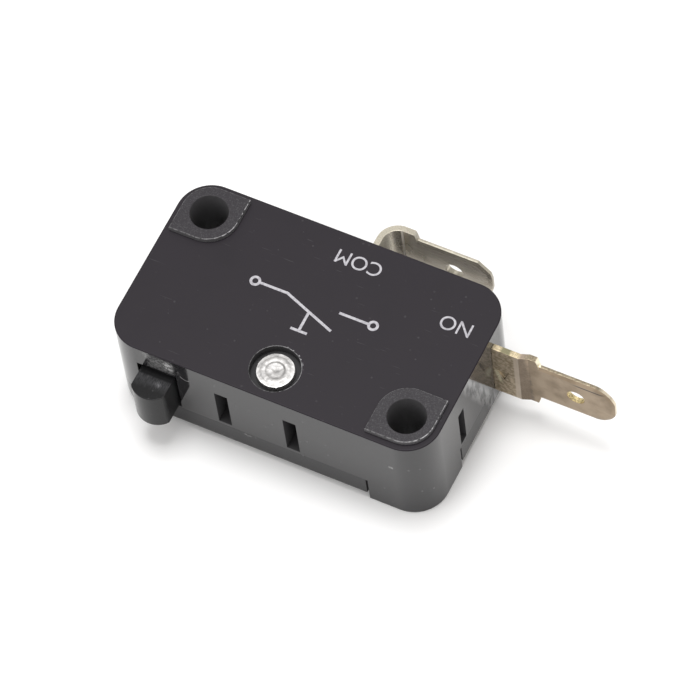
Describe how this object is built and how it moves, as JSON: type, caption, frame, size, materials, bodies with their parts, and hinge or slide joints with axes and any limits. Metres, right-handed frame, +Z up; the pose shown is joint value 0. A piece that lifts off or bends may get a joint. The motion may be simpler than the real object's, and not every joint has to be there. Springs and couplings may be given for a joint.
{
  "type": "snap-action switch",
  "caption": "Miniature snap-action switch in a black moulded case with a pin plunger, push-on brass tabs and through holes for mounting.",
  "frame": {"origin": "midway between the axes of the two mounting holes, in the plane of the feet", "axes": "+X along the case from the plunger end to the NO terminal end, -Y the side the plunger stands out of, +Z up through the mounting holes"},
  "size_m": [0.0381, 0.0214, 0.0103],
  "materials": {
    "case": "black moulding, matte on the face and glossy on the walls",
    "cover": "black moulding, glossy walls",
    "rivet": "bright plated",
    "plunger": "black, semi-gloss",
    "terminal": "dull, with lighter cut edges",
    "contact": "silver",
    "blade": "rolled copper alloy",
    "spring": "drawn wire"
  },
  "bodies": {
    "housing": {"case": "case", "cover": "cover", "rivet": "rivet", "com_terminal": "terminal", "no_terminal": "terminal", "no_contact": "contact"},
    "plunger": {"plunger": "plunger"},
    "blade": {"contact_blade": "blade", "moving_contact": "contact"},
    "spring": {"snap_spring": "spring"}
  },
  "joints": [
    {"name": "plunger_slide", "type": "slide", "parent": "housing", "child": "plunger", "axis": [0, 1, 0], "range_m": [0, 0.00195], "stiffness_N_per_m": 300, "springref_m": -0.003},
    {"name": "blade_pivot", "type": "hinge", "parent": "housing", "child": "blade", "pos_m": [-0.0046, 0.0022, 0.0053], "axis": [0, 0, 1], "range_deg": [0, 4.71]},
    {"name": "spring_swing", "type": "hinge", "parent": "plunger", "child": "spring", "pos_m": [-0.0074, 0.0017, 0.0053], "axis": [0, 0, 1], "range_deg": [-6.84, 0]}
  ],
  "couplings": [
    {"joint": "blade_pivot", "follows": "plunger_slide", "rad_per_m": 42.082},
    {"joint": "spring_swing", "follows": "plunger_slide", "rad_per_m": -61.155}
  ]
}
